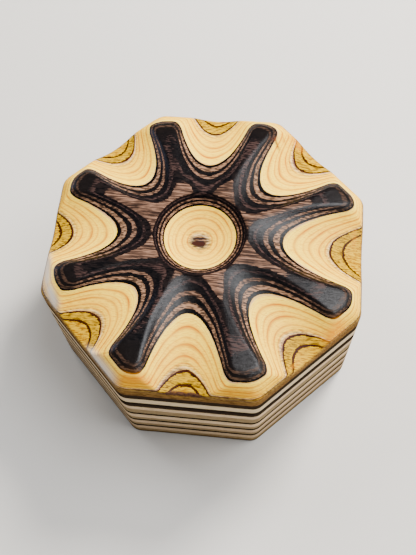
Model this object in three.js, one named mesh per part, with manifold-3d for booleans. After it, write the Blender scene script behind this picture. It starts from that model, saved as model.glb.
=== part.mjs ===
// An octagonal trinket box of laminated wood: a hollow body and a carved lift-off lid.
// Millimetres, +Z up. The origin is the centre of the underside, and the box stands on it.
// Seen from the front (-Y) a flat side faces the viewer, and +X is to the right.

import * as THREE from 'three';
import { mergeVertices } from 'three/addons/utils/BufferGeometryUtils.js';
import Module from 'manifold-3d';

const wasm = await Module();
wasm.setup();

// Outline shared by the body and the lid
const SIDES = 8;
const ACROSS_FLATS = 108;
const APOTHEM = ACROSS_FLATS / 2;
const CORNER_RADIUS = 5;
const CORNER_STEPS = 4;
const INNER_CORNER_RADIUS = 0.8;

// Box body
const BODY_HEIGHT = 34.25;
const WALL = 9;
const FLOOR = 8.5;
const FLOOR_FILLET = 1.5;
const FOOT_ARRIS = 0.8;
const SEAM_ARRIS = 0.4;

// Lid: a plug that drops into the body, a straight wall, a bevelled edge and a low crown
const SEAM_GAP = 0.3;
const LID_UNDERSIDE = BODY_HEIGHT + SEAM_GAP;
const PLUG_DEPTH = 4;
const PLUG_CLEARANCE = 0.5;
const PLUG_ARRIS = 0.8;
const LID_WALL_TOP = 49.9;
const BEVEL_SLOPE = 0.944;
const CROWN_TOP = 57.3;
const CROWN_REACH = 42;
const CROWN_FALL = 0.5;
const CROWN_EDGE = 56;
const CROWN_RINGS = [12, 18, 27, 40];

// Carving: a round bowl at the centre and one sloping scoop towards the middle of each side.
// PALE_TOP is the height of the pale layer's upper face, where every scoop's tip is measured.
const PALE_TOP = 54.3;
const BOWL_RADIUS = 22.6;
const BOWL_DEPTH = 6.7;
const BOWL_CENTRE = { x: -1.7, y: 1.0 };
const BOWL_FACETS = { around: 64, down: 44 };
const SCOOP_LENGTH = 110;
const SCOOP_START = -8;
const SCOOP_FACETS = 112;

// The eight scoops were cut by eye, so each has its own reach and lie.
// tip: distance of the tip from the centre at PALE_TOP; aside: sideways shift;
// turn: degrees off its side's direction; slope: fall per millimetre outwards; radius: of the gouge.
const SCOOPS = [
  { tip: 26.5, aside: 1.9, turn: -1.0, slope: 0.229, radius: 24.0 },
  { tip: 28.5, aside: -0.1, turn: 3.2, slope: 0.219, radius: 24.0 },
  { tip: 30.1, aside: 2.1, turn: -0.8, slope: 0.227, radius: 22.5 },
  { tip: 30.7, aside: 2.9, turn: -3.3, slope: 0.250, radius: 21.0 },
  { tip: 30.2, aside: 0.1, turn: -0.4, slope: 0.227, radius: 22.9 },
  { tip: 29.1, aside: 1.6, turn: -3.7, slope: 0.243, radius: 19.8 },
  { tip: 27.4, aside: -3.4, turn: 2.2, slope: 0.202, radius: 22.0 },
  { tip: 27.1, aside: -1.3, turn: 0.8, slope: 0.219, radius: 20.6 },
];

// Octagon with rounded corners, moved inwards by inset. Counter-clockwise from above.
function outline(inset) {
  const apothem = APOTHEM - inset;
  const radius = Math.max(CORNER_RADIUS - inset, INNER_CORNER_RADIUS);
  const cornerReach = (apothem - radius) / Math.cos(Math.PI / SIDES);
  const points = [];
  for (let side = 0; side < SIDES; side++) {
    const cornerAngle = (side + 0.5) * 2 * Math.PI / SIDES;
    const centreX = cornerReach * Math.cos(cornerAngle);
    const centreY = cornerReach * Math.sin(cornerAngle);
    for (let step = 0; step <= CORNER_STEPS; step++) {
      const angle = cornerAngle + (step / CORNER_STEPS - 0.5) * 2 * Math.PI / SIDES;
      points.push([centreX + radius * Math.cos(angle), centreY + radius * Math.sin(angle)]);
    }
  }
  return points;
}

// Closed skin through rings of equal length, with a fan at each end.
// height(x, y, ring) gives each point's z; ends are the centre heights of the two fans.
function loft(insets, height, ends) {
  const rings = insets.map(outline);
  const count = rings[0].length;
  const positions = [];
  rings.forEach((ring, index) => {
    for (const [x, y] of ring) positions.push(x, y, height(x, y, index));
  });
  const first = rings.length * count;
  const last = first + 1;
  positions.push(0, 0, ends[0], 0, 0, ends[1]);
  const triangles = [];
  for (let ring = 0; ring + 1 < rings.length; ring++) {
    for (let i = 0; i < count; i++) {
      const j = (i + 1) % count;
      const a = ring * count + i;
      const b = ring * count + j;
      const c = (ring + 1) * count + j;
      const d = (ring + 1) * count + i;
      triangles.push(a, b, c, a, c, d);
    }
  }
  const top = (rings.length - 1) * count;
  for (let i = 0; i < count; i++) {
    const j = (i + 1) % count;
    triangles.push(first, j, i);
    triangles.push(last, top + i, top + j);
  }
  const geometry = new THREE.BufferGeometry();
  geometry.setAttribute('position', new THREE.Float32BufferAttribute(positions, 3));
  geometry.setIndex(triangles);
  return geometry;
}

// Geometry with only shared positions, as a solid for cutting.
function solidOf(geometry) {
  geometry.deleteAttribute('normal');
  geometry.deleteAttribute('uv');
  const merged = mergeVertices(geometry, 1e-4);
  return new wasm.Manifold(new wasm.Mesh({
    numProp: 3,
    vertProperties: merged.attributes.position.array,
    triVerts: new Uint32Array(merged.index.array),
  }));
}

function geometryOf(solid) {
  const mesh = solid.getMesh();
  const geometry = new THREE.BufferGeometry();
  geometry.setAttribute('position', new THREE.BufferAttribute(mesh.vertProperties, 3));
  geometry.setIndex(new THREE.BufferAttribute(mesh.triVerts, 1));
  geometry.computeVertexNormals();
  return geometry;
}

// Height of the uncarved lid: a crown that is nearly flat and falls faster towards its edge
// (fourth power of the distance), cut back by the bevel.
function crownHeight(x, y, inset) {
  const crown = CROWN_TOP - CROWN_FALL * (Math.hypot(x, y) / CROWN_REACH) ** 4;
  return Math.min(LID_WALL_TOP + BEVEL_SLOPE * inset, crown);
}

// Round gouge path: a cylinder whose lowest line passes through the tip and falls outwards.
function scoopCutter(index) {
  const { tip, aside, turn, slope, radius } = SCOOPS[index];
  const geometry = new THREE.CylinderGeometry(radius, radius, SCOOP_LENGTH, SCOOP_FACETS);
  geometry.rotateZ(-Math.PI / 2);
  geometry.translate(SCOOP_LENGTH / 2 + SCOOP_START - tip, 0, radius);
  geometry.rotateY(Math.atan(slope));
  geometry.translate(tip, aside, PALE_TOP);
  geometry.rotateZ(index * 2 * Math.PI / SIDES + THREE.MathUtils.degToRad(turn));
  return solidOf(geometry);
}

function bowlCutter() {
  const geometry = new THREE.SphereGeometry(BOWL_RADIUS, BOWL_FACETS.around, BOWL_FACETS.down);
  geometry.rotateX(Math.PI / 2);
  geometry.translate(BOWL_CENTRE.x, BOWL_CENTRE.y, CROWN_TOP - BOWL_DEPTH + BOWL_RADIUS);
  return solidOf(geometry);
}

// Body: up the outside, over the rim, down the cavity wall and across its floor.
function boxBody() {
  const filletMiddle = FLOOR_FILLET * (1 - Math.SQRT1_2);
  const skin = [
    { inset: FOOT_ARRIS, z: 0 },
    { inset: 0, z: FOOT_ARRIS },
    { inset: 0, z: BODY_HEIGHT - SEAM_ARRIS },
    { inset: SEAM_ARRIS, z: BODY_HEIGHT },
    { inset: WALL, z: BODY_HEIGHT },
    { inset: WALL, z: FLOOR + FLOOR_FILLET },
    { inset: WALL + filletMiddle, z: FLOOR + filletMiddle },
    { inset: WALL + FLOOR_FILLET, z: FLOOR },
  ];
  const insets = skin.map((ring) => ring.inset);
  return solidOf(loft(insets, (x, y, ring) => skin[ring].z, [0, FLOOR]));
}

// Lid blank: up the plug, out under the rim, up the wall and bevel, and in over the crown.
// Rings at 0.85 and 1.15 of the bevel's width follow the crease where bevel and crown meet.
function lidBlank() {
  const plugInset = WALL + PLUG_CLEARANCE;
  const bevelInset = (CROWN_EDGE - LID_WALL_TOP) / BEVEL_SLOPE;
  const plugFloor = LID_UNDERSIDE - PLUG_DEPTH;
  const lower = [
    { inset: plugInset + PLUG_ARRIS, z: plugFloor },
    { inset: plugInset, z: plugFloor + PLUG_ARRIS },
    { inset: plugInset, z: LID_UNDERSIDE },
    { inset: SEAM_ARRIS, z: LID_UNDERSIDE },
    { inset: 0, z: LID_UNDERSIDE + SEAM_ARRIS },
  ];
  const creaseInsets = [0.85, 1, 1.15].map((share) => share * bevelInset);
  const crownInsets = [0, ...creaseInsets, ...CROWN_RINGS];
  const insets = [...lower.map((ring) => ring.inset), ...crownInsets];
  const height = (x, y, ring) => {
    if (ring < lower.length) return lower[ring].z;
    return crownHeight(x, y, insets[ring]);
  };
  return solidOf(loft(insets, height, [plugFloor, CROWN_TOP]));
}

function carvedLid() {
  let solid = lidBlank().subtract(bowlCutter());
  for (let index = 0; index < SIDES; index++) {
    solid = solid.subtract(scoopCutter(index));
  }
  return solid;
}

const bodyWood = new THREE.MeshStandardMaterial({ color: 0xa8937a, roughness: 0.5, metalness: 0 });
const lidWood = new THREE.MeshStandardMaterial({ color: 0xe8cf9f, roughness: 0.4, metalness: 0 });

const group = new THREE.Group();

const body = new THREE.Mesh(geometryOf(boxBody()), bodyWood);
body.name = 'box_body';
group.add(body);

const lid = new THREE.Mesh(geometryOf(carvedLid()), lidWood);
lid.name = 'lid';
group.add(lid);

export default group;
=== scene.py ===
import math

import bpy
import numpy as np
from mathutils import Matrix, Vector


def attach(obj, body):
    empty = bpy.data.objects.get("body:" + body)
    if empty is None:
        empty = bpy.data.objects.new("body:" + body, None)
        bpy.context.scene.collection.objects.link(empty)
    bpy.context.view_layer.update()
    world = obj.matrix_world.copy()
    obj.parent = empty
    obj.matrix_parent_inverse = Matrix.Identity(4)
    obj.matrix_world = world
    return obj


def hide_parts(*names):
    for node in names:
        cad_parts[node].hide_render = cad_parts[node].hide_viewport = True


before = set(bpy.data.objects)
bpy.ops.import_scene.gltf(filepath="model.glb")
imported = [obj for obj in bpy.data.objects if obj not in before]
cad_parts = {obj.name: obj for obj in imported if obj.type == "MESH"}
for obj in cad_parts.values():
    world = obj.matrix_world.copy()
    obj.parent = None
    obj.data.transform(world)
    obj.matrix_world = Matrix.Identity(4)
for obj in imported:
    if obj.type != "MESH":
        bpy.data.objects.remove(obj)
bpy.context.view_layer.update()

mm = 0.001

# Octagonal trinket box of laminated wood. Front is -Y, up is +Z, metres.
# Shapes are worked out in millimetres and turned into metres when a mesh is made.

outlineShape = {
    "apothem": 54.0,          # half the distance across the flats
    "cornerRadius": 5.0,
    "innerCornerRadius": 0.8,
}
octant = math.pi / 4


def linear(red, green, blue):
    # sRGB 0-255 to the linear colour that shaders use
    c = np.array([red, green, blue], float) / 255
    c = np.where(c <= 0.04045, c / 12.92, ((c + 0.055) / 1.055) ** 2.4)
    return (*c, 1.0)


def newObject(name, points, faces, smooth=True):
    # points in millimetres; faces as index tuples
    mesh = bpy.data.meshes.new(name)
    mesh.from_pydata((np.asarray(points) * mm).tolist(), [], faces)
    mesh.polygons.foreach_set("use_smooth", np.full(len(mesh.polygons), smooth))
    mesh.update()
    thing = bpy.data.objects.new(name, mesh)
    bpy.context.scene.collection.objects.link(thing)
    return thing


# Camera

cameraSpec = {
    "target": (-1.8, 11.8, 0.0),    # millimetres, on the floor
    "azimuth": 9.7,                 # degrees, to the right of the front
    "elevation": 64.2,
    "distance": 316.0,
    "roll": -4.2,
    "lens": 49.9,
    "sensor": 36.0,
}


def makeCamera(spec):
    az = math.radians(spec["azimuth"])
    el = math.radians(spec["elevation"])
    back = Vector((math.sin(az) * math.cos(el), -math.cos(az) * math.cos(el), math.sin(el)))
    right = (-back).cross(Vector((0, 0, 1))).normalized()
    up = right.cross(-back)
    turn = math.radians(spec["roll"])
    tiltedRight = right * math.cos(turn) + up * math.sin(turn)
    tiltedUp = up * math.cos(turn) - right * math.sin(turn)
    place = (Vector(spec["target"]) + back * spec["distance"]) * mm
    data = bpy.data.cameras.new("camera")
    data.lens = spec["lens"]
    data.sensor_width = spec["sensor"]
    data.clip_start = 0.01
    camera = bpy.data.objects.new("camera", data)
    axes = Matrix((tiltedRight, tiltedUp, back)).transposed()
    camera.matrix_world = Matrix.Translation(place) @ axes.to_4x4()
    bpy.context.scene.collection.objects.link(camera)
    bpy.context.scene.camera = camera


makeCamera(cameraSpec)
print("camera placed")


# Outline shared by body and lid

def outlineRadius(angle, inset, cornerRadius):
    # Distance from the centre to the rounded octagon at each angle: a flat at
    # apothem / cos(angle from its middle), or the far crossing with the corner's circle.
    apothem = outlineShape["apothem"] - inset
    radius = np.maximum(cornerRadius - inset, outlineShape["innerCornerRadius"])
    fromFlat = (angle + octant / 2) % octant - octant / 2
    flat = apothem / np.cos(fromFlat)
    fromCorner = octant / 2 - np.abs(fromFlat)
    reach = (apothem - radius) / math.cos(octant / 2)
    across = radius ** 2 - (reach * np.sin(fromCorner)) ** 2
    arc = reach * np.cos(fromCorner) + np.sqrt(np.maximum(across, 0))
    onArc = np.tan(np.abs(fromFlat)) * apothem > (apothem - radius) * math.tan(octant / 2)
    return np.where(onArc, arc, flat)


def softMin(a, b, reach):
    # Lower of two surfaces, with the crease between them rounded over the given reach
    h = np.maximum(reach - np.abs(a - b), 0) / reach
    return np.minimum(a, b) - h * h * reach / 4


# Lid

lidSpec = {
    "underside": 34.55,
    "plugDepth": 4.0,
    "plugInset": 9.5,
    "plugArris": 0.8,
    "seamArris": 0.4,
    "wallTop": 50.1,
    "rimRound": 0.8,
    "crownTop": 57.3,
    "crownReach": 42.0,
    "crownFall": 0.75,
    "paleTop": 54.3,
    "bowl": {"x": -1.7, "y": 1.0, "radius": 22.9, "depth": 6.60, "reach": 16.9},
    "softCrease": 0.4,        # how far each kind of crease is rounded over, in height
    "softBevel": 3.2,
    "softArmEnd": 2.4,
    "softRim": 0.7,
    "crestFrom": 52.0,        # heights of the bevel between which the arms' ends are rounded
    "crestTo": 60.0,
    "softCorner": 2.4,
    "armStain": {"from": 42.0, "over": 5.0, "strength": 0.75},
    "around": 560,
    "inward": 146,
}

# The bevel was sanded by hand, so its slope changes along each side: one value at the
# clockwise end of the side and one at the other end
bevelSlopes = [(1.30, 1.25), (1.25, 0.89), (1.26, 0.79), (1.25, 1.13),
               (1.10, 1.02), (0.79, 1.13), (1.13, 0.98), (1.04, 1.18)]

# One gouged scoop per side: tip distance, sideways shift, turn in degrees, slope, gouge radius
scoops = [
    {"tip": 26.5, "aside": 1.9, "turn": -1.0, "slope": 0.229, "radius": 24.0},
    {"tip": 28.5, "aside": -0.1, "turn": 3.2, "slope": 0.219, "radius": 24.0},
    {"tip": 30.1, "aside": 2.1, "turn": -0.8, "slope": 0.227, "radius": 22.5},
    {"tip": 30.7, "aside": 2.9, "turn": -3.3, "slope": 0.250, "radius": 21.0},
    {"tip": 30.2, "aside": 0.1, "turn": -0.4, "slope": 0.227, "radius": 22.9},
    {"tip": 29.1, "aside": 1.6, "turn": -3.7, "slope": 0.243, "radius": 19.8},
    {"tip": 27.4, "aside": -3.4, "turn": 2.2, "slope": 0.202, "radius": 22.0},
    {"tip": 27.1, "aside": -1.3, "turn": 0.8, "slope": 0.219, "radius": 20.6},
]


def scoopHeight(x, y, index, spec):
    # Lowest line falls outwards from the tip; the cross-section is a circle's arc
    cut = scoops[index]
    angle = index * octant + math.radians(cut["turn"])
    along = x * math.cos(angle) + y * math.sin(angle)
    aside = y * math.cos(angle) - x * math.sin(angle) - cut["aside"]
    radius = cut["radius"]
    inside = np.clip(radius ** 2 - aside ** 2, 0, None)
    sagitta = (radius - np.sqrt(inside)) * math.hypot(1, cut["slope"])
    height = spec["paleTop"] - (along - cut["tip"]) * cut["slope"] + sagitta
    return np.where((np.abs(aside) < radius) & (along > 0), height, spec["crownTop"] + 9)


def bevelHeight(x, y, spec):
    # Lowest of eight planes that rise inwards from the wall's top
    height = np.full(x.shape, 99.0)
    halfSide = outlineShape["apothem"] * math.tan(octant / 2)
    for side, (first, last) in enumerate(bevelSlopes):
        inward = outlineShape["apothem"] - x * math.cos(side * octant) - y * math.sin(side * octant)
        along = y * math.cos(side * octant) - x * math.sin(side * octant)
        share = np.clip((along / halfSide + 1) / 2, 0, 1)
        slope = first + (last - first) * share
        height = softMin(height, spec["wallTop"] + slope * inward, spec["softCorner"])
    return height


def lidHeight(x, y, spec):
    # Crown less bowl, scoops and bevel, each blended into the rest by softMin
    height = spec["crownTop"] - spec["crownFall"] * (np.hypot(x, y) / spec["crownReach"]) ** 4
    bevel = bevelHeight(x, y, spec)
    height = softMin(height, bevel, spec["softBevel"])
    bowl = spec["bowl"]
    across = (x - bowl["x"]) ** 2 + (y - bowl["y"]) ** 2
    middle = spec["crownTop"] - bowl["depth"] + bowl["radius"]
    dish = middle - np.sqrt(np.clip(bowl["radius"] ** 2 - across, 0, None))
    height = softMin(height, dish, spec["softCrease"])
    # Crests between scoop and bevel are sharp at the rim and rounded at the arms' ends
    upper = np.clip((bevel - spec["crestFrom"]) / 2.5, 0, 1)
    nearRim = np.clip((spec["crestTo"] - bevel) / 3.0, 0, 1)
    crest = spec["softRim"] + (spec["softArmEnd"] - spec["softRim"]) * upper * nearRim
    for index in range(8):
        height = softMin(height, scoopHeight(x, y, index, spec), crest)
    return height


def makeLid(spec):
    count = spec["around"]
    angle = np.arange(count) * 2 * math.pi / count
    radius = outlineShape["cornerRadius"]
    rimInsets = np.array([0.7, 0.56, 0.42, 0.28, 0.16, 0.07, 0.015, 0.0])
    rings = []
    for share in np.linspace(0, 1, spec["inward"] + 1)[1:]:
        r = outlineRadius(angle, 0.85, radius) * share
        x, y = r * np.cos(angle), r * np.sin(angle)
        rings.append(np.stack([x, y, lidHeight(x, y, spec)], 1))
    rounding = spec["rimRound"]
    for inset in rimInsets:
        r = outlineRadius(angle, inset, radius)
        x, y = r * np.cos(angle), r * np.sin(angle)
        drop = rounding - math.sqrt(max(rounding ** 2 - (rounding - inset) ** 2, 0))
        rings.append(np.stack([x, y, lidHeight(x, y, spec) - drop], 1))
    rim = rings[-1]
    carved = len(rings)
    for drop in (0.3, 0.6, 1.0, 1.5, 2.2):
        rings.append(rim - [0, 0, drop])
    low, arris, plug = spec["underside"], spec["seamArris"], spec["plugInset"]
    foot = low - spec["plugDepth"]
    plugArris = spec["plugArris"]
    lower = [(0, low + 8), (0, low + arris + 0.3), (0, low + arris),
             (arris * 0.3, low + arris * 0.3), (arris, low), (arris + 0.4, low),
             (plug - 0.3, low), (plug, low - 0.1), (plug, foot + plugArris),
             (plug + 0.25, foot + 0.25), (plug + plugArris, foot), (plug + 1.4, foot), (30, foot)]
    for inset, height in lower:
        r = outlineRadius(angle, inset, radius)
        rings.append(np.stack([r * np.cos(angle), r * np.sin(angle), np.full(count, height)], 1))
    rings = [ring - chipDepth(ring) * [0, -1, 0] for ring in rings]
    thing = closedRings("lidWood", rings, lidHeight(np.zeros(1), np.zeros(1), spec)[0], foot)
    points = np.concatenate([np.zeros((1, 3)), *rings, np.zeros((1, 3))])
    wall = np.ones(len(points))
    wall[:1 + carved * count] = 0
    fromAxis = np.hypot(points[:, 0], points[:, 1])
    edge = outlineRadius(np.arctan2(points[:, 1], points[:, 0]), 0.0, radius) - fromAxis
    # wall marks the outside faces and rim a band along the outline; both carry painted shade on the golden
    # plies, and the wall is also left without varnish
    setAttribute(thing, "wall", wall)
    setAttribute(thing, "rim", np.clip(1.4 - edge / 0.6, 0, 1))
    bowl = spec["bowl"]
    fromBowl = np.hypot(points[:, 0] - bowl["x"], points[:, 1] - bowl["y"])
    setAttribute(thing, "inBowl", np.clip((bowl["reach"] - fromBowl) / 0.6, 0, 1) * (1 - wall))
    setAttribute(thing, "goldTint", markField(points, goldTints))
    setAttribute(thing, "brownMark", markField(points, brownMarks))
    setAttribute(thing, "leftSheenMark", markField(points, leftSheenMarks))
    setAttribute(thing, "plyDip", plyDip(points))
    stain = spec["armStain"]
    armEnd = np.clip((fromAxis - stain["from"]) / stain["over"], 0, 1) * stain["strength"]
    setAttribute(thing, "armEnd", armEnd)
    return thing


# Chip in the front edge, in millimetres; nothing behind the last value is touched
chipSpec = {"x": -1.5, "z": 49.3, "length": 15.0, "height": 1.9, "depth": 0.55, "behind": -50}


def chipDepth(points):
    # A bite out of the front edge: an oval in X and Z whose depth is broken up by short waves
    along = (points[:, 0] - chipSpec["x"]) / (chipSpec["length"] / 2)
    upward = (points[:, 2] - chipSpec["z"]) / (chipSpec["height"] / 2)
    slow = np.sin(points[:, 0] * 2.3) * np.sin(points[:, 0] * 0.9 + 1.0)
    quick = 0.4 * np.sin(points[:, 0] * 5.1 + points[:, 2] * 4.0)
    shape = np.exp(-(along ** 4) - upward ** 2) * (0.75 + 0.35 * (slow + quick))
    near = (points[:, 1] < chipSpec["behind"]) * (np.abs(along) < 1.6)
    return (chipSpec["depth"] * shape * near)[:, None]


def setAttribute(thing, name, values):
    thing.data.attributes.new(name, "FLOAT", "POINT").data.foreach_set("value", values.astype(np.float32))


# How much sooner the top ply is sanded through, in millimetres: along each arm, from the
# right back one anticlockwise, and in two places on the crown
armDips = [-0.40, 0.35, 0.62, -0.40, 0.10, 0.60, 0.30, 0.02]
crownPatches = [
    {"x": -2.4, "y": 19.0, "reach": 4.2, "dip": 0.44},
    {"x": -12.6, "y": -13.2, "reach": 4.8, "dip": 0.46},
]


def plyDip(points):
    # Dips are joined smoothly from arm to arm; a patch fades with the fourth power of distance
    angle = np.degrees(np.arctan2(points[:, 1], points[:, 0])) % 360
    arms = np.arange(-1, 9) * 45 + 22.5
    dips = [armDips[number % 8] for number in range(-1, 9)]
    r = np.hypot(points[:, 0], points[:, 1])
    dip = np.interp(angle, arms, dips) * np.clip((r - 20) / 6, 0, 1)
    for patch in crownPatches:
        away = np.hypot(points[:, 0] - patch["x"], points[:, 1] - patch["y"]) / patch["reach"]
        dip += (patch["dip"] - dip) * np.exp(-(away ** 4))
    return dip


# Stains and scratches in the top, and painted sheen on the left bevels, in millimetres: centre, length,
# width, turn in degrees
goldTints = [
    {"x": -17.5, "y": -51.0, "length": 12.0, "width": 3.6, "turn": 2, "strength": 1.00},
    {"x": 17.0, "y": -52.0, "length": 15.0, "width": 2.2, "turn": 0, "strength": 0.60},
    {"x": 45.0, "y": -28.5, "length": 9.0, "width": 4.4, "turn": 52, "strength": 1.00},
    {"x": 33.0, "y": -40.5, "length": 6.0, "width": 1.3, "turn": 45, "strength": 0.40},
    {"x": 29.0, "y": 45.0, "length": 8.0, "width": 3.0, "turn": -50, "strength": 0.75},
    {"x": 24.0, "y": 44.8, "length": 4.0, "width": 1.6, "turn": -80, "strength": 0.60},
    {"x": 51.0, "y": 8.0, "length": 8.0, "width": 1.6, "turn": 90, "strength": 0.35},
    {"x": -24.0, "y": 47.5, "length": 7.0, "width": 1.2, "turn": 35, "strength": 0.25},
]
brownMarks = [
    {"x": 21.8, "y": 42.0, "length": 5.4, "width": 1.20, "turn": -62, "strength": 1.00},
    {"x": 20.6, "y": 43.4, "length": 3.6, "width": 0.90, "turn": 35, "strength": 0.95},
    {"x": 24.6, "y": 44.2, "length": 2.6, "width": 0.40, "turn": -70, "strength": 0.50},
    {"x": -13.9, "y": -49.4, "length": 2.8, "width": 0.45, "turn": 78, "strength": 0.85},
    {"x": -12.2, "y": -51.3, "length": 1.0, "width": 0.70, "turn": 20, "strength": 0.60},
    {"x": -28.4, "y": -43.4, "length": 4.4, "width": 0.50, "turn": 4, "strength": 0.80},
]
# Painted sheen: a cool whitish reflection along the left bevels
leftSheenMarks = [
    {"x": -52.3, "y": -15.4, "length": 14.0, "width": 3.2, "turn": -77, "strength": 0.75},
    {"x": -48.9, "y": -24.2, "length": 9.5, "width": 3.0, "turn": -60, "strength": 0.80},
    {"x": -28.6, "y": -46.6, "length": 15.0, "width": 3.0, "turn": -44, "strength": 0.70},
]


def markField(points, marks):
    field = np.zeros(len(points))
    onTop = points[:, 2] > lidSpec["wallTop"] - 2.1
    for mark in marks:
        turn = math.radians(mark["turn"])
        dx, dy = points[:, 0] - mark["x"], points[:, 1] - mark["y"]
        along = (dx * math.cos(turn) + dy * math.sin(turn)) / (mark["length"] / 2)
        across = (dy * math.cos(turn) - dx * math.sin(turn)) / (mark["width"] / 2)
        shape = np.exp(-(along ** 4) - across ** 2)
        field = np.maximum(field, mark["strength"] * shape * onTop)
    return field


def closedRings(name, rings, startHeight, endHeight):
    # Skin through rings of equal length, from a point on the axis to another
    count = len(rings[0])
    points = np.concatenate([np.array([[0, 0, startHeight]]), *rings, np.array([[0, 0, endHeight]])])
    i = np.arange(count)
    j = (i + 1) % count
    last = len(points) - 1
    faces = np.stack([np.zeros(count, int), 1 + i, 1 + j], 1).tolist()
    for ring in range(len(rings) - 1):
        a = 1 + ring * count
        b = a + count
        faces += np.stack([a + i, b + i, b + j, a + j], 1).tolist()
    end = 1 + (len(rings) - 1) * count
    faces += np.stack([np.full(count, last), end + j, end + i], 1).tolist()
    return newObject(name, points, faces)


# Body

bodySpec = {
    "height": 34.25,
    "wall": 9.0,
    "floor": 8.5,
    "fillet": 1.5,
    "footArris": 0.8,
    "seamArris": 0.4,
    "around": 480,
}


def makeBody(spec):
    count = spec["around"]
    angle = np.arange(count) * 2 * math.pi / count
    foot, arris, top = spec["footArris"], spec["seamArris"], spec["height"]
    wall, floor, fillet = spec["wall"], spec["floor"], spec["fillet"]
    curve = [(1 - math.cos(t), 1 - math.sin(t)) for t in np.linspace(0, math.pi / 2, 5)]
    skin = [(30, 0), (foot + 0.6, 0)]
    skin += [(foot * (1 - math.sin(t)), foot * (1 - math.cos(t))) for t in np.linspace(0, math.pi / 2, 6)]
    skin += [(0, 12), (0, 24), (0, top - arris - 0.3), (0, top - arris)]
    skin += [(arris * 0.3, top - arris * 0.3), (arris, top), (arris + 0.3, top)]
    skin += [(wall - 0.6, top), (wall - 0.3, top), (wall - 0.08, top - 0.08), (wall, top - 0.3)]
    skin += [(wall, floor + fillet + 8)]
    skin += [(wall + fillet * a, floor + fillet * b) for a, b in curve]
    skin += [(wall + fillet + 0.5, floor), (34, floor)]
    rings = []
    for inset, height in skin:
        r = outlineRadius(angle, inset, outlineShape["cornerRadius"])
        rings.append(np.stack([r * np.cos(angle), r * np.sin(angle), np.full(count, height)], 1))
    # The rings run from the underside up the outside and down the inside
    return closedRings("bodyWood", rings, 0.0, floor)


lid = makeLid(lidSpec)
body = makeBody(bodySpec)
for thing in (lid, body):
    thing.data.validate()
print("lid", len(lid.data.polygons), "faces; body", len(body.data.polygons), "faces")


def pointOutwards(thing):
    # Turns the faces over where the skin encloses a negative volume
    mesh = thing.data
    mesh.calc_loop_triangles()
    co = np.empty(len(mesh.vertices) * 3)
    mesh.vertices.foreach_get("co", co)
    co = co.reshape(-1, 3)
    tri = np.empty(len(mesh.loop_triangles) * 3, int)
    mesh.loop_triangles.foreach_get("vertices", tri)
    a, b, c = (co[tri.reshape(-1, 3)[:, n]] for n in range(3))
    volume = np.einsum("ij,ij->i", a, np.cross(b, c)).sum() / 6
    if volume < 0:
        mesh.flip_normals()
    print(thing.name, "volume", round(abs(volume) * 1e6, 1), "cubic centimetres")


pointOutwards(lid)
pointOutwards(body)


# Materials

# Plies from the bottom up: top of the ply in millimetres, its colour, the colour of its
# streaks, how strongly they show, and on the lid how much varnish shine the ply has.
bodyPlies = [
    # The lowest ply is darkened: painted contact shade along the foot
    {"top": 2.4, "tone": (104, 82, 52), "streak": (64, 48, 28), "grain": 0.60},
    {"top": 5.0, "tone": (150, 127, 92), "streak": (98, 78, 50), "grain": 0.60},
    {"top": 8.15, "tone": (200, 172, 138), "streak": (140, 112, 82), "grain": 0.40},
    {"top": 10.05, "tone": (34, 27, 19), "streak": (18, 14, 10), "grain": 0.40},
    {"top": 12.3, "tone": (152, 130, 96), "streak": (100, 80, 52), "grain": 0.60},
    {"top": 15.45, "tone": (206, 178, 144), "streak": (140, 112, 82), "grain": 0.40},
    {"top": 17.35, "tone": (34, 27, 19), "streak": (18, 14, 10), "grain": 0.40},
    {"top": 19.8, "tone": (156, 134, 99), "streak": (102, 82, 54), "grain": 0.60},
    {"top": 23.2, "tone": (224, 196, 158), "streak": (142, 110, 78), "grain": 0.40},
    {"top": 25.1, "tone": (34, 27, 19), "streak": (18, 14, 10), "grain": 0.40},
    {"top": 29.5, "tone": (160, 138, 103), "streak": (106, 86, 58), "grain": 0.60},
    {"top": 32.5, "tone": (226, 198, 160), "streak": (142, 110, 78), "grain": 0.40},
    {"top": 40.0, "tone": (60, 49, 38), "streak": (32, 25, 18), "grain": 0.45},
]
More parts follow.
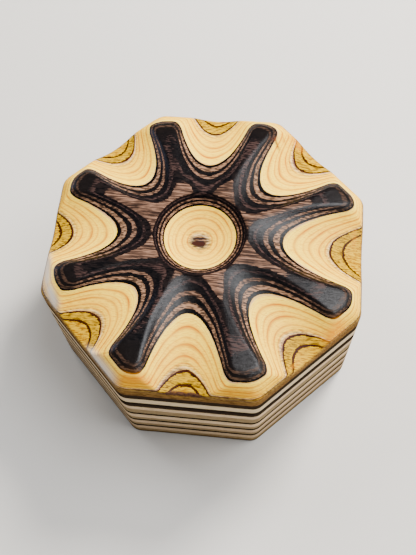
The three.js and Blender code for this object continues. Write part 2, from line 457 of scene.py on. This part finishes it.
lidPlies = [
    {"top": 35.2, "tone": (56, 45, 35), "streak": (30, 23, 16), "grain": 0.45, "gloss": 0.0},
    {"top": 37.4, "tone": (44, 35, 27), "streak": (24, 18, 13), "grain": 0.45, "gloss": 0.0},
    {"top": 41.5, "tone": (228, 206, 168), "streak": (150, 118, 84), "grain": 0.35, "gloss": 0.0},
    {"top": 45.4, "tone": (56, 45, 34), "streak": (30, 23, 16), "grain": 0.45, "gloss": 0.0},
    {"top": 47.0, "tone": (190, 140, 60), "streak": (60, 36, 12), "grain": 0.85, "gloss": 0.0},
    {"top": 49.38, "tone": (202, 158, 0), "streak": (112, 58, 0), "grain": 1.00, "gloss": 0.15},
    {"top": 49.66, "tone": (56, 26, 6), "streak": (16, 7, 3), "grain": 0.60, "gloss": 0.15},
    {"top": 50.38, "tone": (192, 150, 4), "streak": (74, 42, 8), "grain": 1.00, "gloss": 0.15},
    {"top": 50.66, "tone": (62, 28, 12), "streak": (12, 7, 6), "grain": 0.90, "gloss": 0.15},
    {"top": 54.28, "tone": (252, 206, 60), "streak": (226, 160, 70), "grain": 0.20, "gloss": 0.15},
    {"top": 54.54, "tone": (6, 5, 5), "streak": (3, 3, 3), "grain": 0.40, "gloss": 0.50},
    {"top": 54.94, "tone": (146, 110, 84), "streak": (8, 6, 6), "grain": 1.00, "gloss": 0.45},
    {"top": 55.44, "tone": (3, 4, 5), "streak": (34, 26, 24), "grain": 0.35, "gloss": 0.65},
    {"top": 55.80, "tone": (122, 91, 73), "streak": (6, 5, 6), "grain": 1.00, "gloss": 0.50},
    {"top": 56.28, "tone": (3, 4, 6), "streak": (34, 27, 26), "grain": 0.35, "gloss": 0.65},
    {"top": 56.50, "tone": (60, 44, 41), "streak": (3, 4, 6), "grain": 1.00, "gloss": 0.60},
    {"top": 56.94, "tone": (3, 4, 6), "streak": (38, 29, 27), "grain": 0.45, "gloss": 0.60},
    {"top": 60.00, "tone": (128, 96, 78), "streak": (12, 9, 9), "grain": 0.85, "gloss": 0.35},
]

# Growth rings of the pale ply lie nearly flat, so they show as contour lines of the carving
paleRings = [
    {"height": 50.66, "tone": (132, 112, 112)},
    {"height": 50.79, "tone": (226, 200, 150)},
    {"height": 50.92, "tone": (238, 198, 80)},
    {"height": 51.02, "tone": (204, 128, 20)},
    {"height": 51.14, "tone": (247, 203, 47)},
    {"height": 51.30, "tone": (246, 196, 36)},
    {"height": 51.48, "tone": (166, 82, 2)},
    {"height": 51.58, "tone": (244, 190, 33)},
    {"height": 51.95, "tone": (252, 208, 40)},
    {"height": 52.26, "tone": (168, 84, 2)},
    {"height": 52.36, "tone": (246, 194, 34)},
    {"height": 52.60, "tone": (250, 208, 44)},
    {"height": 52.68, "tone": (208, 134, 10)},
    {"height": 52.78, "tone": (253, 216, 51)},
    {"height": 53.12, "tone": (253, 214, 47)},
    {"height": 53.42, "tone": (174, 90, 4)},
    {"height": 53.54, "tone": (248, 200, 37)},
    {"height": 53.80, "tone": (254, 224, 63)},
    {"height": 53.88, "tone": (246, 202, 47)},
    {"height": 53.98, "tone": (254, 226, 69)},
    {"height": 54.12, "tone": (253, 222, 76)},
    {"height": 54.28, "tone": (170, 148, 128)},
]

grainSpec = {
    "streak": (2.4, 0.42, 0.6),      # length along X, Y and Z in millimetres
    "dash": (2.6, 0.42, 0.44),
    "fibre": (7.0, 0.16, 0.5),
    "bar": (11.0, 0.60, 3.0),
    "topDash": (5.5, 0.40, 0.8),
    "drift": (9.0, 9.0, 9.0),
    "ringWarp": (24.0, 15.0, 12.0),
    "patch": (11.0, 8.0, 6.0),
    "fleck": (1.6, 0.30, 0.5),
    "edgeWander": 0.34,              # how far a ply's edge wanders up and down, millimetres
    "ringWander": 0.75,
    "thinRing": 0.19,                # height between the thin growth rings, millimetres
}


class Nodes:
    # Short ways to add and join shader nodes
    def __init__(self, material):
        self.tree = material.node_tree
        self.nodes = self.tree.nodes
        self.nodes.clear()

    def add(self, kind, **values):
        node = self.nodes.new(kind)
        for key, value in values.items():
            setattr(node, key, value)
        return node

    def link(self, source, target):
        self.tree.links.new(source, target)

    def fill(self, sockets, values):
        for socket, value in zip(sockets, values):
            if isinstance(value, (int, float, tuple)):
                socket.default_value = value
            else:
                self.link(value, socket)

    def math(self, operation, *values):
        node = self.add("ShaderNodeMath", operation=operation)
        self.fill(node.inputs, values)
        return node.outputs[0]

    def mix(self, factor, first, second, blend="MIX"):
        node = self.add("ShaderNodeMix", data_type="RGBA", blend_type=blend)
        self.fill((node.inputs[0], node.inputs[6], node.inputs[7]), (factor, first, second))
        return node.outputs[2]

    def blend(self, factor, first, second):
        node = self.add("ShaderNodeMix", data_type="FLOAT")
        self.fill((node.inputs[0], node.inputs[2], node.inputs[3]), (factor, first, second))
        return node.outputs[0]

    def ramp(self, factor, stops, interpolation="LINEAR"):
        # stops: (place, colour or grey value)
        node = self.add("ShaderNodeValToRGB")
        node.color_ramp.interpolation = interpolation
        elements = node.color_ramp.elements
        while len(elements) > 1:
            elements.remove(elements[-1])
        for number, (place, colour) in enumerate(stops):
            element = elements[0] if number == 0 else elements.new(place)
            element.position = place
            element.color = colour if isinstance(colour, tuple) else (colour, colour, colour, 1.0)
        self.link(factor, node.inputs[0])
        return node.outputs[0]

    def above(self, layered, line):
        # 1 above the named glue line
        return self.math("GREATER_THAN", layered, glueLines[line] * mm)

    def attribute(self, name):
        return self.add("ShaderNodeAttribute", attribute_name=name).outputs["Fac"]

    def distance(self, vector, centre, reach, turn):
        # 1 on the skin of an ellipsoid with the given centre, half lengths and turn about Z
        place = self.add("ShaderNodeMapping", vector_type="TEXTURE")
        place.inputs["Location"].default_value = [c * mm for c in centre]
        place.inputs["Rotation"].default_value = (0, 0, math.radians(turn))
        place.inputs["Scale"].default_value = [r * mm for r in reach]
        self.link(vector, place.inputs["Vector"])
        node = self.add("ShaderNodeVectorMath", operation="LENGTH")
        self.link(place.outputs[0], node.inputs[0])
        return node.outputs["Value"]

    def noise(self, vector, size, detail=2.0, roughness=0.5, shift=(0, 0, 0)):
        # size: length of the pattern along X, Y and Z in millimetres
        place = self.add("ShaderNodeMapping")
        place.inputs["Scale"].default_value = [1 / (s * mm) for s in size]
        place.inputs["Location"].default_value = shift
        self.link(vector, place.inputs["Vector"])
        node = self.add("ShaderNodeTexNoise", noise_dimensions="3D")
        node.inputs["Scale"].default_value = 1.0
        node.inputs["Detail"].default_value = detail
        node.inputs["Roughness"].default_value = roughness
        self.link(place.outputs[0], node.inputs["Vector"])
        return node.outputs["Fac"]


# Spot at the bottom of the bowl, where the glue line nearly shows, in millimetres
bowlSpot = {
    "centre": (-2.0, 0.7, 50.7), "reach": (4.8, 3.5, 1.8),
    "core": (-2.3, 0.2, 50.7), "coreReach": (2.6, 1.1, 1.2),
    "pores": (3.4, 0.40, 0.8),
}

# Torn places: centre and half length, depth and height in millimetres
scars = [
    {"centre": (-1.5, -53.7, 49.3), "reach": (8.0, 1.6, 0.85), "turn": 0,
     "tone": (84, 56, 40), "streak": 0.95},
    {"centre": (29.0, -47.4, 37.9), "reach": (1.9, 1.0, 0.55), "turn": 45,
     "tone": (246, 232, 206), "streak": 0.0},
]


# Glue lines that parts of the lid's material start from, in millimetres
glueLines = {"golden": 45.4, "pale": 50.66, "dark": 54.28, "tan": 54.54, "top": 56.94}

# How ragged the plies' edges are: height in millimetres, share of edgeWander
raggedness = [(50.75, 1.1), (51.0, 0.12), (54.3, 0.2), (54.6, 1.0), (55.9, 1.1), (56.6, 0.9)]

# The wall tones are partly painted shade and partly stain; the pale tone is painted sheen
stainAndShadeTones = {
    "gold": linear(204, 122, 0),
    "leftBevelSheen": linear(212, 208, 204),
    "brown": linear(104, 46, 6),
    "armEnd": linear(16, 12, 11),
    "wallGoldShade": linear(132, 98, 60),
    "wallStreakShade": linear(60, 40, 20),
    "tornStreak": linear(46, 30, 26),
    "topStreak": linear(22, 14, 13),
    "spotHalo": linear(24, 20, 24),
    "spotCore": linear(50, 27, 21),
}
paleTones = {
    "ground": linear(251, 206, 46),
    "thinRing": linear(226, 150, 24),
    "fleck": linear(190, 118, 30),
    "fibre": linear(200, 130, 34),
    "pore": linear(58, 40, 34),
}
coatSpec = {"roughness": 0.25, "ior": 1.45}
bumpSpec = {"strength": 0.60, "distance": 0.12}    # distance in millimetres


def byPly(n, share, plies, low, high, pick):
    # Ramp with one flat step per ply; pick says which of the ply's values it holds
    stops, start = [], 0.0
    for ply in plies:
        stops.append((start, pick(ply)))
        start = min((ply["top"] - low) / (high - low), 1.0)
    return n.ramp(share, stops, "CONSTANT")


def makeLaminate(name, plies, low, high, carvedTop):
    # Colour, streaks and gloss are picked from the ply list by height; each ply's edge
    # wanders a little along the grain, so lines break up as they do in cut wood.
    material = bpy.data.materials.new(name)
    material.use_nodes = True
    n = Nodes(material)
    place = n.add("ShaderNodeTexCoord").outputs["Object"]
    split = n.add("ShaderNodeSeparateXYZ")
    n.link(place, split.inputs[0])
    height = split.outputs["Z"]
    streaks = n.noise(place, grainSpec["streak"], detail=3.0, roughness=0.65)
    fibres = n.noise(place, grainSpec["fibre"], detail=2.0)
    drift = n.noise(place, grainSpec["drift"], detail=1.0)
    wander = n.math("ADD", n.math("SUBTRACT", streaks, 0.5), n.math("SUBTRACT", drift, 0.5))
    reach = grainSpec["edgeWander"] * mm
    if carvedTop:
        # Edges are calm in the pale ply and ragged in the thin dark ones
        upTo60 = n.math("DIVIDE", height, 60 * mm)
        calm = n.ramp(upTo60, [(level / 60, ragged) for level, ragged in raggedness])
        wander = n.math("MULTIPLY", wander, calm)
        onCrown = n.ramp(upTo60, [(56.3 / 60, 0.0), (56.9 / 60, 1.0)])
        dip = n.math("MULTIPLY", n.attribute("plyDip"), onCrown)
        height = n.math("MULTIPLY_ADD", dip, -mm, height)
    layered = n.math("MULTIPLY_ADD", wander, reach, height)
    share = n.math("DIVIDE", n.math("SUBTRACT", layered, low * mm), (high - low) * mm)
    tone = byPly(n, share, plies, low, high, lambda ply: linear(*ply["tone"]))
    streakTone = byPly(n, share, plies, low, high, lambda ply: linear(*ply["streak"]))
    strength = byPly(n, share, plies, low, high, lambda ply: ply["grain"])
    mask = n.ramp(streaks, [(0.44, 0.0), (0.60, 1.0)])
    if carvedTop:
        dashes = n.ramp(n.noise(place, grainSpec["dash"], detail=1.5), [(0.43, 0.0), (0.54, 1.0)])
        topNoise = n.noise(place, grainSpec["topDash"], detail=2.5, roughness=0.6)
        longDashes = n.ramp(topNoise, [(0.42, 0.0), (0.56, 1.0)])
        mask = n.blend(n.above(layered, "dark"), mask, dashes)
        mask = n.blend(n.above(layered, "top"), mask, longDashes)
    fine = n.ramp(fibres, [(0.35, 0.0), (0.70, 1.0)])
    amount = n.math("MULTIPLY", n.math("MULTIPLY_ADD", mask, 0.75, n.math("MULTIPLY", fine, 0.25)), strength)
    colour = n.mix(amount, tone, streakTone)
    if carvedTop:
        colour = palePart(n, place, layered, mask, fine, colour)
        colour = topPart(n, place, layered, colour)
        colour = spotPart(n, place, colour)
        golden = n.math("MULTIPLY", n.attribute("goldTint"), n.math("MULTIPLY_ADD", fine, 0.5, 0.5))
        colour = n.mix(golden, colour, stainAndShadeTones["gold"])
        # Painted sheen: whitish reflection on the left bevels
        colour = n.mix(n.attribute("leftSheenMark"), colour, stainAndShadeTones["leftBevelSheen"])
        brown = n.math("MULTIPLY", n.attribute("brownMark"), n.math("MULTIPLY_ADD", mask, 0.4, 0.6))
        colour = n.mix(brown, colour, stainAndShadeTones["brown"])
        # Partly painted shade, partly stain: the golden plies are darkened on the steep wall and at the
        # rounded rim, for the shade that falls there and for their darker stained end grain
        wall = n.attribute("wall")
        belowPale = n.math("SUBTRACT", 1.0, n.above(layered, "pale"))
        shadedRim = n.math("MULTIPLY", n.attribute("rim"), belowPale)
        shade = n.math("MAXIMUM", wall, n.math("MULTIPLY", shadedRim, 0.85))
        shade = n.math("MULTIPLY", shade, n.above(layered, "golden"))
        wallShadeTone, wallStreakShade = stainAndShadeTones["wallGoldShade"], stainAndShadeTones["wallStreakShade"]
        shadedWallTone = n.mix(n.math("MULTIPLY", mask, 0.75), wallShadeTone, wallStreakShade)
        colour = n.mix(n.math("MULTIPLY", shade, 0.88), colour, shadedWallTone)
        for scar in scars:
            away = n.distance(place, scar["centre"], scar["reach"], scar["turn"])
            ragged = n.math("MULTIPLY_ADD", n.math("SUBTRACT", streaks, 0.5), 1.6, away)
            streaky = n.math("MULTIPLY", mask, scar["streak"])
            torn = n.mix(streaky, linear(*scar["tone"]), stainAndShadeTones["tornStreak"])
            colour = n.mix(n.ramp(ragged, [(0.75, 1.0), (1.0, 0.0)]), colour, torn)
        # The tan plies are stained darker at the arms' outer ends
        stained = n.math("MULTIPLY", n.attribute("armEnd"), n.above(layered, "tan"))
        colour = n.mix(stained, colour, stainAndShadeTones["armEnd"])
    shader = n.add("ShaderNodeBsdfPrincipled")
    n.link(colour, shader.inputs["Base Color"])
    shader.inputs["Specular IOR Level"].default_value = 0.0
    n.link(n.math("MULTIPLY_ADD", streaks, 0.22, 0.30), shader.inputs["Roughness"])
    if carvedTop:
        # Varnish is a thin coat on the carving; the walls are matt
        gloss = byPly(n, share, plies, low, high, lambda ply: ply["gloss"])
        matt = n.math("MAXIMUM", wall, n.attribute("inBowl"))
        grain = n.math("MULTIPLY_ADD", n.math("MAXIMUM", fine, mask), 0.45, 0.65)
        worn = n.math("MULTIPLY", gloss, grain)
        n.link(n.math("MULTIPLY", worn, n.math("SUBTRACT", 1.0, matt)), shader.inputs["Coat Weight"])
        shader.inputs["Coat Roughness"].default_value = coatSpec["roughness"]
        shader.inputs["Coat IOR"].default_value = coatSpec["ior"]
    bump = n.add("ShaderNodeBump")
    bump.inputs["Strength"].default_value = bumpSpec["strength"]
    bump.inputs["Distance"].default_value = bumpSpec["distance"] * mm
    n.link(n.math("MULTIPLY_ADD", fibres, 0.5, streaks), bump.inputs["Height"])
    n.link(bump.outputs[0], shader.inputs["Normal"])
    n.link(bump.outputs[0], shader.inputs["Coat Normal"])
    output = n.add("ShaderNodeOutputMaterial")
    n.link(shader.outputs[0], output.inputs[0])
    return material


def palePart(n, place, layered, mask, fine, colour):
    # Growth rings, flecks and pores of the thick pale ply
    warp = n.noise(place, grainSpec["ringWarp"], detail=2.0, shift=(3.1, 1.7, 0.4))
    phase = n.math("MULTIPLY_ADD", n.math("SUBTRACT", warp, 0.5), grainSpec["ringWander"] * mm, layered)
    low, high = paleRings[0]["height"], paleRings[-1]["height"]
    share = n.math("DIVIDE", n.math("SUBTRACT", phase, low * mm), (high - low) * mm)
    steps = [((ring["height"] - low) / (high - low), linear(*ring["tone"])) for ring in paleRings]
    rings = n.ramp(share, steps, "EASE")
    patches = n.noise(place, grainSpec["patch"], shift=(0.3, 5.2, 1.1))
    patch = n.ramp(patches, [(0.35, 0.50), (0.60, 1.0)])
    ground = n.mix(patch, paleTones["ground"], rings)
    # Thin rings between the broad ones
    turns = n.math("FRACT", n.math("DIVIDE", phase, grainSpec["thinRing"] * mm))
    ringShape = n.ramp(turns, [(0.0, 0.0), (0.5, 0.2), (0.8, 1.0), (1.0, 0.0)])
    thin = n.math("MULTIPLY", ringShape, n.math("MULTIPLY", patch, 0.55))
    ground = n.mix(thin, ground, paleTones["thinRing"])
    fleckShape = n.ramp(n.noise(place, grainSpec["fleck"], detail=2.0), [(0.50, 0.0), (0.68, 1.0)])
    ground = n.mix(n.math("MULTIPLY", fleckShape, 0.50), ground, paleTones["fleck"])
    ground = n.mix(n.math("MULTIPLY", fine, 0.12), ground, paleTones["fibre"])
    # Black pores and a grey halo just above the glue line
    near = n.ramp(share, [(0.0, 1.0), (0.08, 0.65), (0.20, 0.0)])
    pores = n.math("MULTIPLY", n.math("MULTIPLY", near, mask), 0.9)
    ground = n.mix(pores, ground, paleTones["pore"])
    aboveLow = n.math("GREATER_THAN", layered, low * mm)
    belowHigh = n.math("LESS_THAN", layered, high * mm)
    return n.mix(n.math("MULTIPLY", aboveLow, belowHigh), colour, ground)


def spotPart(n, place, colour):
    # Reddish core and dark pores at the bottom of the bowl
    pores = n.noise(place, bowlSpot["pores"], detail=2.0, shift=(0.4, 0.3, 0.2))
    fromHalo = n.distance(place, bowlSpot["centre"], bowlSpot["reach"], 0)
    halo = n.ramp(fromHalo, [(0.60, 1.0), (1.0, 0.0)])
    lines = n.math("MULTIPLY_ADD", n.ramp(pores, [(0.44, 0.0), (0.52, 1.0)]), 0.85, 0.10)
    colour = n.mix(n.math("MULTIPLY", halo, lines), colour, stainAndShadeTones["spotHalo"])
    fromCore = n.distance(place, bowlSpot["core"], bowlSpot["coreReach"], 0)
    ragged = n.math("MULTIPLY_ADD", n.math("SUBTRACT", pores, 0.5), 1.2, fromCore)
    return n.mix(n.ramp(ragged, [(0.8, 1.0), (1.1, 0.0)]), colour, stainAndShadeTones["spotCore"])


def topPart(n, place, layered, colour):
    # Broad black streaks in the brown top ply
    barNoise = n.noise(place, grainSpec["bar"], detail=3.0, roughness=0.6)
    bars = n.math("MULTIPLY", n.ramp(barNoise, [(0.48, 0.0), (0.54, 1.0)]), 0.85)
    amount = n.math("MULTIPLY", bars, n.above(layered, "top"))
    return n.mix(amount, colour, stainAndShadeTones["topStreak"])


lidMaterial = makeLaminate("lidLaminate", lidPlies, 30.0, 58.0, True)
bodyMaterial = makeLaminate("bodyLaminate", bodyPlies, 0.0, 36.0, False)
lid.data.materials.append(lidMaterial)
body.data.materials.append(bodyMaterial)
print("materials made")


# Floor and light

def makeFloor():
    size = 3.0
    points = np.array([[-1, -1, 0], [1, -1, 0], [1, 1, 0], [-1, 1, 0]]) * size / 2 / mm
    floor = newObject("floor", points, [(0, 1, 2, 3)], smooth=False)
    material = bpy.data.materials.new("floorPaper")
    material.use_nodes = True
    shader = material.node_tree.nodes["Principled BSDF"]
    shader.inputs["Base Color"].default_value = linear(198, 195, 190)
    shader.inputs["Roughness"].default_value = 0.8
    floor.data.materials.append(material)
    return floor


lightSpec = {
    "key": {"place": (0.32, 0.48, 0.58), "size": 0.26, "power": 17.5,
             "colour": (1.0, 0.95, 0.88), "glossy": False},
    "overhead": {"place": (0.36, 0.08, 0.77), "size": 0.62, "power": 10.0,
             "colour": (0.97, 0.98, 1.0), "glossy": True},
    "fill": {"place": (-0.46, 0.38, 0.66), "size": 0.40, "power": 4.6,
             "colour": (1.0, 0.98, 0.95), "glossy": False},
    "front": {"place": (0.56, -0.74, 0.38), "size": 0.40, "power": 2.4,
             "colour": (1.0, 0.97, 0.92), "glossy": False},
    "right": {"place": (0.76, 0.39, 0.29), "size": 0.45, "power": 1.6,
             "colour": (1.0, 0.97, 0.90), "glossy": True},
    "left": {"place": (-0.80, 0.38, 0.17), "size": 0.45, "power": 1.4,
             "colour": (0.50, 0.65, 1.0), "glossy": True},
}


def makeLight(name, spec):
    data = bpy.data.lights.new(name, "AREA")
    data.shape = "DISK"
    data.size = spec["size"]
    data.energy = spec["power"]
    data.color = spec["colour"]
    light = bpy.data.objects.new(name, data)
    place = Vector(spec["place"])
    aim = Vector((0, 0, 0.04)) - place
    light.location = place
    light.visible_glossy = spec["glossy"]
    light.rotation_euler = aim.to_track_quat("-Z", "Y").to_euler()
    bpy.context.scene.collection.objects.link(light)


floor = makeFloor()
for name, spec in lightSpec.items():
    makeLight(name, spec)
world = bpy.data.worlds.new("room")
world.use_nodes = True
world.node_tree.nodes["Background"].inputs["Color"].default_value = (0.80, 0.84, 0.90, 1.0)
world.node_tree.nodes["Background"].inputs["Strength"].default_value = 0.10
bpy.context.scene.world = world
print("floor and lights placed")

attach(lid, "root")
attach(body, "root")
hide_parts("lid")
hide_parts("box_body")
